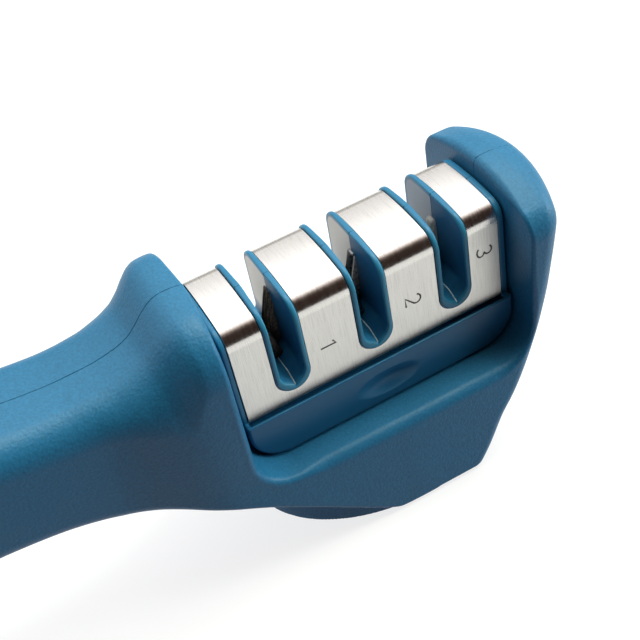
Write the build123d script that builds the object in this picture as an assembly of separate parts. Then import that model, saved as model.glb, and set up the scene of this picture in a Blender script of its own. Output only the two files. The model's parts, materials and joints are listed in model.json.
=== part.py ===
from build123d import *
import math
import os

# Three-stage pull-through knife sharpener with a lift-out sharpening module.
# Millimetres, +Z up, Z = 0 is the table under the rubber pad.
# X runs from the handle tail (-X) to the nose (+X); Y = 0 is the parting plane
# of body and module, -Y is the front.

# ---------------------------------------------------------------- driving dimensions
WALL = 2.6                 # body wall
PAD_T = 1.8                # rubber pad thickness
PAD_PROUD = 0.8            # the pad stands this far below the body
MX, MZ = 28.0, 39.0        # module datum: left end and bottom edge of the steel cover
COV_L = 64.0               # steel cover length
COV_T = 0.6                # sheet thickness
COV_HW = 11.83             # half depth of the cover at its bottom edge
COV_H = 25.15              # height of the cover beside its bends
COV_CROWN = 0.42           # rise of its top in the middle
COV_R = 4.2                # outer bend radius
COV_DRAFT = 0.017          # lean of front and back per mm of height
SLOT_X = (11.9, 32.15, 52.3)   # slot centres from the cover's left end
SLOT_ZC = 7.25             # centre of the slots' round bottoms above the cover edge
COV_SLOT = 4.2             # half width of the openings in the steel
LIP_OUT = 4.08             # outer half width of the plastic slot lips
LIP_PROUD = 0.5            # the lips stand this far out of the steel
SLOT_HW0 = 3.02            # half width inside a slot at its mouths
SLOT_HW1 = 2.62            # half width at the parting plane
VEE_Z = 6.0                # valley line of the slot floor
APEX_Z = 13.2              # where the sharpening faces cross
LEAN = 15.0                # lean of each sharpening bar, degrees
BAR_T = 2.9                # bar thickness along Y
BAR_PITCH = 3.06           # front, middle and back bar spacing
BAR_UP, BAR_DN = 9.2, 8.9  # bar length above and below the crossing
BAR_W = (4.0, 3.6, 3.8)    # bar width: diamond, carbide, ceramic
SKIRT_Y = 13.75            # half depth of the finger skirt
SKIRT_LO, SKIRT_HI = -12.2, 0.1
SKIRT_X0, SKIRT_X1 = -1.25, 65.6
GROOVE_Y, GROOVE_Z = 13.15, -1.6       # groove between the steel's lower edge and the skirt
END_X0, END_X1 = -1.4, 65.75       # outer faces of the module's end walls
PLUG_X0, PLUG_X1, PLUG_Y, PLUG_Z = 6.6, 57.6, 8.9, -22.0
BAY_X0, BAY_X1 = -1.85, 66.15      # bay walls
BAY_Z = -12.7              # bay floor
BAY_CLR = 0.35             # clearance round the plug
BAY_FLARE = 1.8            # the bay's handle end widens this much towards each side
BAY_R = 9.5                # corner radius of the bay
BOSSES = ((-86.0, 52.0), (-34.0, 53.0), (11.0, 46.0), (45.5, 12.5), (75.0, 12.0))
MOD_SCREWS = (10.8, 32.1, 53.4)    # along the plug
BASE_CX, BASE_A, BASE_B = 62.0, 34.3, 23.4   # base outline: half ellipse, then straight
BASE_X1 = 64.0
TAIL_X = -106.2            # end of the handle
FLARE = 0.09               # below the bay the side walls widen this much per mm downwards

os.makedirs("parts", exist_ok=True)


def curve(*pts):
    """Smooth monotone interpolation through the given (x, value) points."""
    xs = [p[0] for p in pts]
    ys = [p[1] for p in pts]
    n = len(xs)
    d = [(ys[i + 1] - ys[i]) / (xs[i + 1] - xs[i]) for i in range(n - 1)]
    m = [d[0]] + [0.0] * (n - 2) + [d[-1]]
    for i in range(1, n - 1):
        if d[i - 1] * d[i] > 0:
            h0, h1 = xs[i] - xs[i - 1], xs[i + 1] - xs[i]
            w0, w1 = 2 * h1 + h0, h1 + 2 * h0
            m[i] = (w0 + w1) / (w0 / d[i - 1] + w1 / d[i])

    def f(x):
        if x <= xs[0]:
            return ys[0]
        if x >= xs[-1]:
            return ys[-1]
        i = max(k for k in range(n - 1) if xs[k] <= x)
        h = xs[i + 1] - xs[i]
        t = (x - xs[i]) / h
        return ((1 + 2 * t) * (1 - t) ** 2 * ys[i] + t * (1 - t) ** 2 * h * m[i]
                + t * t * (3 - 2 * t) * ys[i + 1] + t * t * (t - 1) * h * m[i + 1])
    return f


# ---------------------------------------------------------------- body form tables (X, value)
Z_TOP = curve((-106.2, 55.0), (-103.2, 58.1), (-98, 61.1), (-90, 64.1), (-80, 66.7), (-65, 68.8),
              (-50, 69.1), (-36, 67.7), (-24, 65.7), (-15, 64.0), (-9, 63.25), (-4, 62.9),
              (2.4, 63.0), (8.1, 63.8), (12, 65.3), (14.2, 67.2), (16.5, 69.7), (18.7, 71.5),
              (20.8, 72.25), (23, 72.3), (26, 71.9), (40, 71.1), (80, 69.4), (94, 69.0),
              (99, 68.95), (102, 68.4), (105, 67.4), (108, 66.1))
Z_BOT = curve((-106.2, 47.0), (-103.2, 43.9), (-98, 41.1), (-90, 38.9), (-80, 38.1), (-65, 37.9),
              (-50, 38.0), (-36, 37.5), (-24, 36.4), (-15, 35.1), (-8, 33.3), (-2, 31.2),
              (4, 29.5), (9, 28.1), (14, 26.3), (20, 23.8), (26, 20.6), (30, 17.9),
              (40, 10.7), (48, 4.8), (50.5, 3.1), (52.5, 1.8), (55, 0.8), (110, 0.8))
W_MID = curve((-106.2, 6.2), (-103.2, 9.6), (-98, 12.2), (-90, 14.1), (-80, 15.0), (-65, 15.4),
              (-50, 15.2), (-36, 14.6), (-24, 14.25), (-10, 14.2), (-2, 14.35), (3.5, 15.4),
              (7, 16.7), (10.5, 18.1), (14, 19.3), (19, 20.2), (26, 20.55), (45, 20.95), (65, 21.3),
              (80, 21.4), (95, 21.3), (110, 21.1))
R_TOP = curve((-106.2, 2.3), (-98, 4.8), (-80, 6.3), (-20, 6.3), (0, 7.0), (7, 9.0), (12, 10.8), (20, 11.5),
              (30, 11.5), (60, 8.0), (90, 3.8), (110, 3.8))
R_BOT = curve((-106.2, 2.1), (-98, 4.6), (-80, 5.6), (-20, 4.6), (-5, 3.8), (6, 3.0), (14, 2.0),
              (22, 1.2), (30, 0.8), (110, 0.8))
CROWN = curve((-106.2, 0.5), (-90, 1.2), (0, 1.0), (14, 0.5), (30, 0.5), (60, 2.2), (92, 5.4), (110, 5.4))
TILT = curve((-106.2, 0.0), (0, 0.0), (24, FLARE), (110, FLARE))
NOSE_X = curve((-5, 78.8), (0, 81.9), (4, 84.8), (8, 87.1), (12.4, 89.5), (15.6, 92.0), (19.6, 94.5),
               (23.3, 96.4), (27.8, 98.4), (32.6, 100.2), (38.7, 101.9), (43.3, 103.0), (49, 104.0),
               (53.8, 104.8), (60, 105.7), (66, 106.3), (78, 106.7))
NOSE_SAG = 0.0101          # plan curvature of the nose end: set-back per square mm of Y
STATIONS = (-106.2, -105.0, -103, -99, -95, -89, -80, -68, -52, -38, -26, -16, -8, -2, 3, 7, 10.5,
            13, 15.2, 17.4, 19.5, 22, 26, 31, 40, 48, 50.5, 52.5, 55, 58, 64, 78, 94, 99, 103, 108)


# the same spline parameters at every station keep the skin a light surface
ARCH_H = (0.0, 0.14, 0.28, 0.36, 0.44, 0.52, 0.60, 0.74, 0.88, 1.0)
ARCH_U = [0.5 - 0.5 * u for u in reversed(ARCH_H)] + [0.5 + 0.5 * u for u in ARCH_H[1:]]
BELLY_U = [0.0, 0.2, 0.5, 0.8, 1.0]


def section(x, inset):
    """Closed YZ outline of the body at x: an arch over a belly."""
    zt, zb = Z_TOP(x) - inset, Z_BOT(x) + inset
    rt, rb = max(R_TOP(x) - inset, 1.2), max(R_BOT(x) - inset, 0.5)
    cr, tl = CROWN(x) / 400.0, TILT(x)

    def w(z):
        t = 30.0 - z
        return W_MID(x) - inset + tl * ((t + math.sqrt(t * t + 16.0)) / 2 - 2.0)
    y0 = w(zt - rt) - rt
    for _ in range(6):
        phi = math.pi / 2 - math.atan(2 * cr * y0)
        z0 = zt - cr * y0 * y0
        zc = z0 - rt * math.sin(phi)
        y0 = max(w(zc) - rt + rt * math.cos(phi), 0.5)
    yc = y0 - rt * math.cos(phi)
    half = [(y0 * f, zt - cr * (y0 * f) ** 2) for f in (0.0, 0.5)]
    half += [(yc + rt * math.cos(phi * k / 4), zc + rt * math.sin(phi * k / 4)) for k in (4, 3, 2, 1, 0)]
    zl = zb + rb
    half += [(w(zc * (1 - f) + zl * f), zc * (1 - f) + zl * f) for f in (0.4, 0.8)]
    yb = w(zl) - rb
    chine = (yb + rb * math.sin(math.pi / 4), zl - rb * math.cos(math.pi / 4))
    half += [chine]
    arch = [(-y, z) for y, z in reversed(half)] + half[1:]
    belly = [chine, (yb * 0.62, zb + rb * 0.02), (0.0, zb), (-yb * 0.62, zb + rb * 0.02), (-chine[0], chine[1])]
    return Wire([Edge.make_spline([Vector(x, y, z) for y, z in arch], parameters=ARCH_U),
                 Edge.make_spline([Vector(x, y, z) for y, z in belly], parameters=BELLY_U)])


def block(x0, x1, y0, y1, z0, z1):
    return Pos((x0 + x1) / 2, (y0 + y1) / 2, (z0 + z1) / 2) * Box(x1 - x0, y1 - y0, z1 - z0)


def rod_y(x, z, r, y0, y1):
    return Pos(x, (y0 + y1) / 2, z) * Rot(90, 0, 0) * Cylinder(r, abs(y1 - y0))


def prism_y(edges, y0, y1):
    """Prism along Y of a closed outline drawn in the XZ plane at Y = 0."""
    return extrude(Pos(0, y0, 0) * Face(Wire(edges)), amount=y1 - y0, dir=(0, 1, 0))


def prism_x(edges, x0, x1):
    """Prism along X of a closed outline drawn in the YZ plane at X = 0."""
    return extrude(Pos(x0, 0, 0) * Face(Wire(edges)), amount=x1 - x0, dir=(1, 0, 0))


def poly(pts):
    pts = [Vector(*p) for p in pts]
    return [Edge.make_line(a, b) for a, b in zip(pts, pts[1:] + pts[:1])]


def arc3(a, m, b):
    return Edge.make_three_point_arc(Vector(*a), Vector(*m), Vector(*b))


def line(a, b):
    return Edge.make_line(Vector(*a), Vector(*b))


def u_outline(x0, x1, z0, r, top, y=0.0):
    """U-shaped outline in the XZ plane at y, closed straight across at the top."""
    k = r * (1 - math.sqrt(0.5))
    e = [line((x0, y, top), (x0, y, z0 + r)),
         arc3((x0, y, z0 + r), (x0 + k, y, z0 + k), (x0 + r, y, z0))]
    if x1 - x0 - 2 * r > 1e-6:
        e.append(line((x0 + r, y, z0), (x1 - r, y, z0)))
    e += [arc3((x1 - r, y, z0), (x1 - k, y, z0 + k), (x1, y, z0 + r)),
          line((x1, y, z0 + r), (x1, y, top)),
          line((x1, y, top), (x0, y, top))]
    return e


def halves(solid):
    front = solid & block(-140, 140, -60, 0, -20, 120)
    back = solid & block(-140, 140, 0, 60, -20, 120)
    return front, back


def one(solid):
    """The largest solid of a result, so that no loose sliver is kept."""
    s = solid.solids()
    return max(s, key=lambda q: q.volume)


# ---------------------------------------------------------------- body form
def nose_limit(inset):
    """Everything behind the sloping, plan-curved end of the nose."""
    wires = []
    for z in (-5, 0, 6, 14, 22, 30, 38, 46, 54, 62, 75):
        xm = NOSE_X(z) - inset
        xs = xm - NOSE_SAG * 40.0 ** 2
        wires.append(Wire([arc3((xs, -40, z), (xm, 0, z), (xs, 40, z)),
                           line((xs, 40, z), (-140, 40, z)),
                           line((-140, 40, z), (-140, -40, z)),
                           line((-140, -40, z), (xs, -40, z))]))
    return Solid.make_loft(wires)


def base_wire(inset, z, x_end):
    """Outline of the foot at height z: half an ellipse, then straight sides."""
    a, b = BASE_A - inset, BASE_B - inset
    n = 14
    pts = [Vector(BASE_CX - a * math.sin(math.pi * k / n), -b * math.cos(math.pi * k / n), z)
           for k in range(n + 1)]
    s = Edge.make_spline(pts, tangents=[Vector(-1, 0, 0), Vector(1, 0, 0)])
    return Wire([s, line((BASE_CX, b, z), (x_end, b, z)),
                 line((x_end, b, z), (x_end, -b, z)),
                 line((x_end, -b, z), (BASE_CX, -b, z))])


def pedestal(inset, z0, z1):
    return Solid.make_loft([base_wire(inset + FLARE * z0, z0, BASE_X1),
                            base_wire(inset + FLARE * z1, z1, BASE_X1)], ruled=True)


def form(inset):
    xs = [x for x in STATIONS if x > TAIL_X + inset + 0.4]
    hull = Solid.make_loft([section(x, inset) for x in [TAIL_X + inset] + xs])
    foot = pedestal(inset, PAD_PROUD + inset, 23.0)
    return one((hull & nose_limit(inset)) + foot)




# ---------------------------------------------------------------- bay for the module
def bay_cut():
    """U-shaped bay through the head, widening a little towards both side faces."""
    x0, x1, z0 = MX + BAY_X0, MX + BAY_X1, MZ + BAY_Z
    mid = Wire(u_outline(x0, x1, z0, BAY_R, 90.0))
    cut = Part()
    for s in (-1, 1):
        side = Wire(u_outline(x0 - BAY_FLARE, x1 + 0.1, z0 - 0.1, BAY_R, 90.0, s * 28.0))
        cut += Solid.make_loft([mid, side], ruled=True)
    return cut


def plug_pocket(clr, z0):
    x0, x1 = MX + PLUG_X0 - clr, MX + PLUG_X1 + clr
    return block(x0, x1, -PLUG_Y - clr, PLUG_Y + clr, z0, MZ + BAY_Z + 1.0)


outer = form(0.0)
inner = form(WALL)
shell = outer - bay_cut()
# rounded upper edges where shoulder and nose turn into the bay
def soften(solid, picks, radii):
    for pick in picks:
        for r in radii:
            try:
                es = solid.edges().filter_by(pick)
                if not es:
                    break
                new = solid.fillet(r, list(es))
                if new.is_valid and abs(new.volume / solid.volume - 1) < 0.03:
                    solid = new
                    break
            except Exception:
                continue
    return solid


shell = one(shell)
print("outer", round(outer.volume), "inner", round(inner.volume), "with bay", round(shell.volume))
bx0, bx1 = MX + BAY_X0, MX + BAY_X1
shell = soften(shell, [
    lambda e: abs(e.center().X - bx1) < 1.2 and e.center().Z > 62 and abs(e.center().Y) < 3,
    lambda e: abs(e.center().X - bx0) < 1.2 and e.center().Z > 62 and abs(e.center().Y) < 3,
], (2.2, 1.6, 1.2, 0.8))

# cavity: the inset form, kept clear of the bay, the plug pocket and the nose
keep = block(bx0 - WALL, bx1 + 40, -60, 60, MZ + BAY_Z - WALL, 120)
keep += block(MX + PLUG_X0 - 3, MX + PLUG_X1 + 3, -PLUG_Y - 2.8, PLUG_Y + 2.8, MZ + PLUG_Z - 3.0, 120)
cavity = inner - keep
shell = shell - cavity
ribs = Part()
for x, z in BOSSES:
    ribs += rod_y(x, z, 4.2, -30, 30)
for x in (-66.0, -50.0, -16.0):
    ribs += block(x - 0.8, x + 0.8, -30, 30, 20, 90)
ribs += block(60.2, 61.8, -30, 30, 0, MZ + BAY_Z)
ribs = (ribs & inner) - keep
core = ribs & cavity
shell = shell + core
shell = shell - plug_pocket(BAY_CLR, MZ + PLUG_Z - BAY_CLR)

# recess for the rubber pad
pad_in = 2.4
pad_outline = Solid.make_loft([base_wire(pad_in, -1.0, 110.0), base_wire(pad_in, PAD_T, 110.0)], ruled=True)
nose_pad = nose_limit(pad_in + 1.2)
pad = one(pad_outline & nose_pad & block(-140, 140, -60, 60, 0, PAD_T))
recess = one(Solid.make_loft([base_wire(pad_in - 0.1, -1.0, 110.0), base_wire(pad_in - 0.1, PAD_T, 110.0)],
                             ruled=True) & nose_limit(pad_in + 1.1) & block(-140, 140, -60, 60, -1, PAD_T))
shell = shell - recess
front, back = halves(shell)
front, back = one(front), one(back)

# screws enter the back half and bite into the front half's bosses
screws = Part()
for x, z in BOSSES:
    back = back - rod_y(x, z, 3.0, 4.0, 40)
    back = back - rod_y(x, z, 1.7, -1, 5)
    front = front - rod_y(x, z, 1.35, -9.0, 1)
    s = rod_y(x, z, 2.75, 4.02, 6.1) + rod_y(x, z, 1.35, -8.8, 4.1)
    s -= block(x - 1.7, x + 1.7, 5.0, 7, z - 0.35, z + 0.35)
    s -= block(x - 0.35, x + 0.35, 5.0, 7, z - 1.7, z + 1.7)
    screws += s
front, back = one(front), one(back)
export_step(front, "parts/body_shell_front.step")
export_step(back, "parts/body_shell_back.step")
export_step(Compound(children=[one(s) for s in screws.solids()]), "parts/body_screws.step")
export_step(pad, "parts/non_slip_pad.step")
print("shell", round(front.volume), round(back.volume), "pad", round(pad.volume))


# ---------------------------------------------------------------- module
def cover_outline(grow, z_low, x=0.0):
    """Cross-section of the cover's outer surface in the YZ plane, grown outwards."""
    hw = COV_HW + grow
    top = COV_H + grow
    r = COV_R + grow
    hz = top - r
    hb = hw - COV_DRAFT * hz
    c = (hb - r, hz)
    k = r * math.sqrt(0.5)
    yl = hw - COV_DRAFT * z_low
    cr = COV_CROWN
    return [line((x, -yl, MZ + z_low), (x, -hb, MZ + hz)),
            arc3((x, -hb, MZ + hz), (x, -c[0] - k, MZ + hz + k), (x, -c[0], MZ + top)),
            arc3((x, -c[0], MZ + top), (x, 0, MZ + top + cr), (x, c[0], MZ + top)),
            arc3((x, c[0], MZ + top), (x, c[0] + k, MZ + hz + k), (x, hb, MZ + hz)),
            line((x, hb, MZ + hz), (x, yl, MZ + z_low)),
            line((x, yl, MZ + z_low), (x, -yl, MZ + z_low))]


def slot_prism(xc, hw, y0, y1, top=45.0):
    return prism_y(u_outline(MX + xc - hw, MX + xc + hw, MZ + SLOT_ZC - hw, hw, MZ + top), y0, y1)


def slot_inside(xc):
    """Slot space: drafted walls and a shallow valley floor that runs out at both mouths."""
    cut = Part()
    x, zt = MX + xc, MZ + 45.0
    zv, zw = MZ + VEE_Z, MZ + VEE_Z + 2.1
    for s in (-1, 1):
        def prof(y, hw):
            return Wire(poly([(x - hw, y, zt), (x - hw, y, zw), (x, y, zv), (x + hw, y, zw), (x + hw, y, zt)]))
        cut += Solid.make_loft([prof(s * -0.02, SLOT_HW1), prof(s * 14.0, SLOT_HW0)], ruled=True)
    return cut


def bar(xc, lean, yc, width, up, down, thick=BAR_T, grow=0.0):
    """One sharpening bar: its inner face crosses the slot centre at APEX_Z."""
    b = Pos(lean * width / 2, 0, (up - down) / 2) * Box(width + 2 * grow, thick + 2 * grow, up + down + 2 * grow)
    return Pos(MX + xc, yc, MZ + APEX_Z) * Rot(0, lean * LEAN, 0) * b


slots = Part()
for xc in SLOT_X:
    slots += slot_inside(xc)

cover = prism_x(cover_outline(0.0, 0.0), MX, MX + COV_L) - prism_x(cover_outline(-COV_T, -1.0), MX - 1, MX + COV_L + 1)
for xc in SLOT_X:
    cover -= slot_prism(xc, COV_SLOT, -20, 20)
cover = one(cover)
export_step(cover, "parts/module_cover.step")
print("cover", round(cover.volume, 1), cover.is_valid)

# plastic core: blocks under the sheet, end walls, slot lips, finger skirt and plug
body = prism_x(cover_outline(-COV_T - 0.04, -2.9), MX - 0.4, MX + COV_L + 0.4)
body += prism_x(cover_outline(-0.1, -3.0), MX + END_X0, MX - 0.06)
body += prism_x(cover_outline(-0.1, -3.0), MX + COV_L + 0.06, MX + END_X1)
lips = Part()
for xc in SLOT_X:
    lips += slot_prism(xc, LIP_OUT, -15, 15)
lips = lips & prism_x(cover_outline(LIP_PROUD, 2.0), MX - 2, MX + COV_L + 2)
body += lips
skirt = prism_y(u_outline(MX + SKIRT_X0, MX + SKIRT_X1, MZ + SKIRT_LO, 8.8, MZ + SKIRT_HI), -SKIRT_Y, SKIRT_Y)
skirt -= block(MX - 0.25, MX + COV_L + 0.25, -GROOVE_Y, GROOVE_Y, MZ + GROOVE_Z, MZ + 3)
skirt -= block(MX - 9, MX + COV_L + 9, -12.0, 12.0, MZ - 2.9, MZ + 3) & block(MX - 9, MX - 0.06, -12, 12, MZ - 1, MZ + 3)
body += skirt
body += block(MX + PLUG_X0, MX + PLUG_X1, -PLUG_Y, PLUG_Y, MZ + PLUG_Z, MZ + SKIRT_LO + 2)
body -= slots
# finger dimple on both sides of the skirt
for s in (-1, 1):
    ball = Pos(MX + 31.5, s * (SKIRT_Y + 16.2), MZ - 6.0) * Sphere(17.2)
    body -= ball & block(MX + 20, MX + 43, min(s * 12, s * 16), max(s * 12, s * 16), MZ - 10.5, MZ - 1.9)
# lightening pocket from below, ribbed between the slots
for a, b in ((15.0, 29.2), (35.0, 49.2)):
    body -= block(MX + a, MX + b, -6.6, 6.6, MZ + PLUG_Z - 1, MZ + 1.5)
# seats of the bars, a little long so that the bars slide in from the parting plane
bars = []
names = ("diamond_bar", "carbide_blade", "ceramic_rod")
for i, xc in enumerate(SLOT_X):
    for j, (lean, tag) in enumerate(((-1, "front"), (1, "middle"), (-1, "back"))):
        yc = (j - 1) * BAR_PITCH
        up = BAR_UP - (0.6 if i else 0.0)
        b = bar(xc, lean, yc, BAR_W[i], up, BAR_DN)
        body -= bar(xc, lean, yc, BAR_W[i], up, BAR_DN, grow=0.06)
        try:
            top = b.edges().filter_by(Axis.Y).sort_by(Axis.Z)[-2:]
            b = b.fillet(1.2 if i else 0.45, top) if i else b.chamfer(0.7, None, top)
            if i == 2:
                side = [e for e in b.edges() if abs(e.tangent_at(0.5).Y) < 0.1 and e.length > 10]
                b = b.fillet(0.9, side)
        except Exception as err:
            print("bar edge kept sharp", names[i], tag, err)
        bars.append(("stage%d_%s_%s" % (i + 1, names[i], tag), one(b)))
for n, b in bars:
    export_step(b, "parts/%s.step" % n)
mod_front, mod_back = halves(body)
mod_front, mod_back = one(mod_front), one(mod_back)
mod_screws = Part()
zs = MZ + PLUG_Z + 3.6
for xc in MOD_SCREWS:
    x = MX + xc
    mod_back = mod_back - rod_y(x, zs, 2.3, 6.6, 12) - rod_y(x, zs, 1.3, -1, 7)
    mod_front = mod_front - rod_y(x, zs, 1.05, -6.6, 1)
    s = rod_y(x, zs, 2.1, 6.62, 8.3) + rod_y(x, zs, 1.05, -6.4, 6.7)
    s -= block(x - 1.3, x + 1.3, 7.5, 9, zs - 0.3, zs + 0.3)
    s -= block(x - 0.3, x + 0.3, 7.5, 9, zs - 1.3, zs + 1.3)
    mod_screws += s
mod_front, mod_back = one(mod_front), one(mod_back)
export_step(Compound(children=[one(s) for s in mod_screws.solids()]), "parts/module_screws.step")
export_step(mod_front, "parts/module_core_front.step")
export_step(mod_back, "parts/module_core_back.step")
print("core", round(mod_front.volume), round(mod_back.volume), mod_front.is_valid, mod_back.is_valid)
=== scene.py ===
import json
import math
import bpy
import bmesh
import numpy as np
from mathutils import Matrix, Vector

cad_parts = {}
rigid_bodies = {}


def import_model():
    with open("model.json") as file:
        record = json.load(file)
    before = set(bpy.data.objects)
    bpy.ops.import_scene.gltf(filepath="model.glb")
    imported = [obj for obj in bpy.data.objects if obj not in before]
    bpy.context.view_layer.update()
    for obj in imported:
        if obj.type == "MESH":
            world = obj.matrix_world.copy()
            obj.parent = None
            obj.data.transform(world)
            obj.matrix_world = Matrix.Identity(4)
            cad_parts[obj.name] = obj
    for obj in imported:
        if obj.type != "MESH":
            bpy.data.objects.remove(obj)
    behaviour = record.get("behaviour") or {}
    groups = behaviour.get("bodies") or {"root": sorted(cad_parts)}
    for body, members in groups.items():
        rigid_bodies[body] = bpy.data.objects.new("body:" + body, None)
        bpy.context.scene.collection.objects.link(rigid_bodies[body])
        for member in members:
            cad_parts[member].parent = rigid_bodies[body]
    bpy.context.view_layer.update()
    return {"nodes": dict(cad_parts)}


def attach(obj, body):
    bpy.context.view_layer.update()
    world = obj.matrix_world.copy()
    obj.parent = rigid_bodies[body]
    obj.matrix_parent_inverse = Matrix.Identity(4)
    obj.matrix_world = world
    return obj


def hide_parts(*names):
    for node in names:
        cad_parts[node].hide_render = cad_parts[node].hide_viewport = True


# Looks of a three-stage pull-through knife sharpener: moulded two-half body, lift-out
# module with a brushed steel cover, leaning sharpening bars, rubber foot.
# Lengths below are millimetres in the part's own frame; meshes are made in metres.

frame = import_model()
MM = 0.001
MX, MZ = 28.0, 39.0
SLOTS = (11.9, 32.15, 52.3)
RNG = np.random.RandomState(7)


# ------------------------------------------------------------------ form tables
def monotone(pts, x):
    xs = np.array([p[0] for p in pts], float)
    ys = np.array([p[1] for p in pts], float)
    d = np.diff(ys) / np.diff(xs)
    m = np.zeros(len(xs))
    m[0], m[-1] = d[0], d[-1]
    for i in range(1, len(xs) - 1):
        if d[i - 1] * d[i] > 0:
            h0, h1 = xs[i] - xs[i - 1], xs[i + 1] - xs[i]
            w0, w1 = 2 * h1 + h0, h1 + 2 * h0
            m[i] = (w0 + w1) / (w0 / d[i - 1] + w1 / d[i])
    x = np.clip(x, xs[0], xs[-1])
    i = np.clip(np.searchsorted(xs, x, side="right") - 1, 0, len(xs) - 2)
    h = xs[i + 1] - xs[i]
    t = (x - xs[i]) / h
    return ((1 + 2 * t) * (1 - t) ** 2 * ys[i] + t * (1 - t) ** 2 * h * m[i]
            + t * t * (3 - 2 * t) * ys[i + 1] + t * t * (t - 1) * h * m[i + 1])


class Table:
    """A form curve sampled finely and smoothed a little, with its slope."""

    def __init__(self, pts, sigma=1.0):
        self.x = np.arange(-125.0, 125.0, 0.1)
        y = monotone(pts, self.x)
        if sigma > 0:
            k = np.arange(-int(4 * sigma / 0.1), int(4 * sigma / 0.1) + 1) * 0.1
            g = np.exp(-0.5 * (k / sigma) ** 2)
            g /= g.sum()
            n = len(k) // 2
            y = np.convolve(np.pad(y, n, mode="edge"), g, mode="valid")
        self.y = y
        self.d = np.gradient(y, self.x)

    def __call__(self, x):
        return np.interp(x, self.x, self.y)

    def slope(self, x):
        return np.interp(x, self.x, self.d)


Z_TOP = Table([(-106.2, 55.0), (-103.2, 58.1), (-98, 61.1), (-90, 64.1), (-80, 66.7), (-65, 68.8),
               (-50, 69.1), (-36, 67.7), (-24, 65.7), (-15, 64.0), (-9, 63.25), (-4, 62.9),
               (2.4, 63.0), (8.1, 63.8), (12, 65.3), (14.2, 67.2), (16.5, 69.7), (18.7, 71.5),
               (20.8, 72.25), (23, 72.3), (26, 71.9), (40, 71.1), (80, 69.4), (94, 69.0),
               (99, 68.95), (102, 68.4), (105, 67.4), (108, 66.1)], 0.5)
Z_BOT = Table([(-106.2, 47.0), (-103.2, 43.9), (-98, 41.1), (-90, 38.9), (-80, 38.1), (-65, 37.9),
               (-50, 38.0), (-36, 37.5), (-24, 36.4), (-15, 35.1), (-8, 33.3), (-2, 31.2),
               (4, 29.5), (9, 28.1), (14, 26.3), (20, 23.8), (26, 20.6), (30, 17.9),
               (40, 10.7), (48, 4.8), (50.5, 3.1), (52.5, 1.8), (55, 0.8), (110, 0.8)], 0.7)
W_MID = Table([(-106.2, 6.2), (-103.2, 9.6), (-98, 12.2), (-90, 14.1), (-80, 15.0), (-65, 15.4),
               (-50, 15.2), (-36, 14.6), (-24, 14.25), (-10, 14.2), (-2, 14.35), (3.5, 15.4),
               (7, 16.7), (10.5, 18.1), (14, 19.3), (19, 20.2), (26, 20.55), (45, 20.95), (65, 21.3),
               (80, 21.4), (95, 21.3), (110, 21.1)], 0.8)
R_TOP = Table([(-106.2, 2.3), (-98, 4.8), (-80, 6.3), (-20, 6.3), (0, 7.0), (7, 9.0), (12, 10.8), (20, 11.5),
               (30, 11.5), (60, 8.0), (90, 3.8), (110, 3.8)], 1.5)
R_BOT = Table([(-106.2, 2.1), (-98, 4.6), (-80, 5.6), (-20, 4.6), (-5, 3.8), (6, 3.0), (14, 2.0),
               (22, 1.2), (30, 0.8), (110, 0.8)], 1.0)
CROWN = Table([(-106.2, 0.5), (-90, 1.2), (0, 1.0), (14, 0.5), (30, 0.5), (60, 2.2), (92, 5.4), (110, 5.4)], 1.0)
TILT = Table([(-106.2, 0.0), (0, 0.0), (24, 0.09), (110, 0.09)], 1.0)
NOSE_X = Table([(-5, 78.8), (0, 81.9), (4, 84.8), (8, 87.1), (12.4, 89.5), (15.6, 92.0), (19.6, 94.5),
                (23.3, 96.4), (27.8, 98.4), (32.6, 100.2), (38.7, 101.9), (43.3, 103.0), (49, 104.0),
                (53.8, 104.8), (60, 105.7), (66, 106.3), (78, 106.7)], 1.2)
NOSE_R = Table([(0, 1.6), (12, 2.2), (30, 2.6), (55, 3.0), (62, 3.4), (80, 3.4)], 1.0)
BOSSES = ((-86.0, 52.0), (-34.0, 53.0), (11.0, 46.0), (45.5, 12.5), (75.0, 12.0))


# ------------------------------------------------------------------ distance fields
def rint(a, b, r):
    """Both a and b, with their edge rounded to radius r."""
    return np.minimum(-r, np.maximum(a, b)) + np.hypot(np.maximum(a + r, 0), np.maximum(b + r, 0))


def runi(a, b, r):
    """Either a or b, with a fillet of radius r between them."""
    return np.maximum(r, np.minimum(a, b)) - np.hypot(np.maximum(r - a, 0), np.maximum(r - b, 0))


def foot_outline(x, y, inset):
    a, b = 34.3 - inset, 23.4 - inset
    u = np.minimum(x - 62.0, 0.0)
    k0 = np.hypot(u / a, y / b) + 1e-6
    k1 = np.hypot(u / a ** 2, y / b ** 2) + 1e-6
    return k0 * (k0 - 1.0) / k1


def nose_gap(x, y, z):
    s = NOSE_X.slope(z)
    return (x - NOSE_X(z) + 0.0101 * y * y) / np.sqrt(1 + s * s + (0.0202 * y) ** 2)


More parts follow.
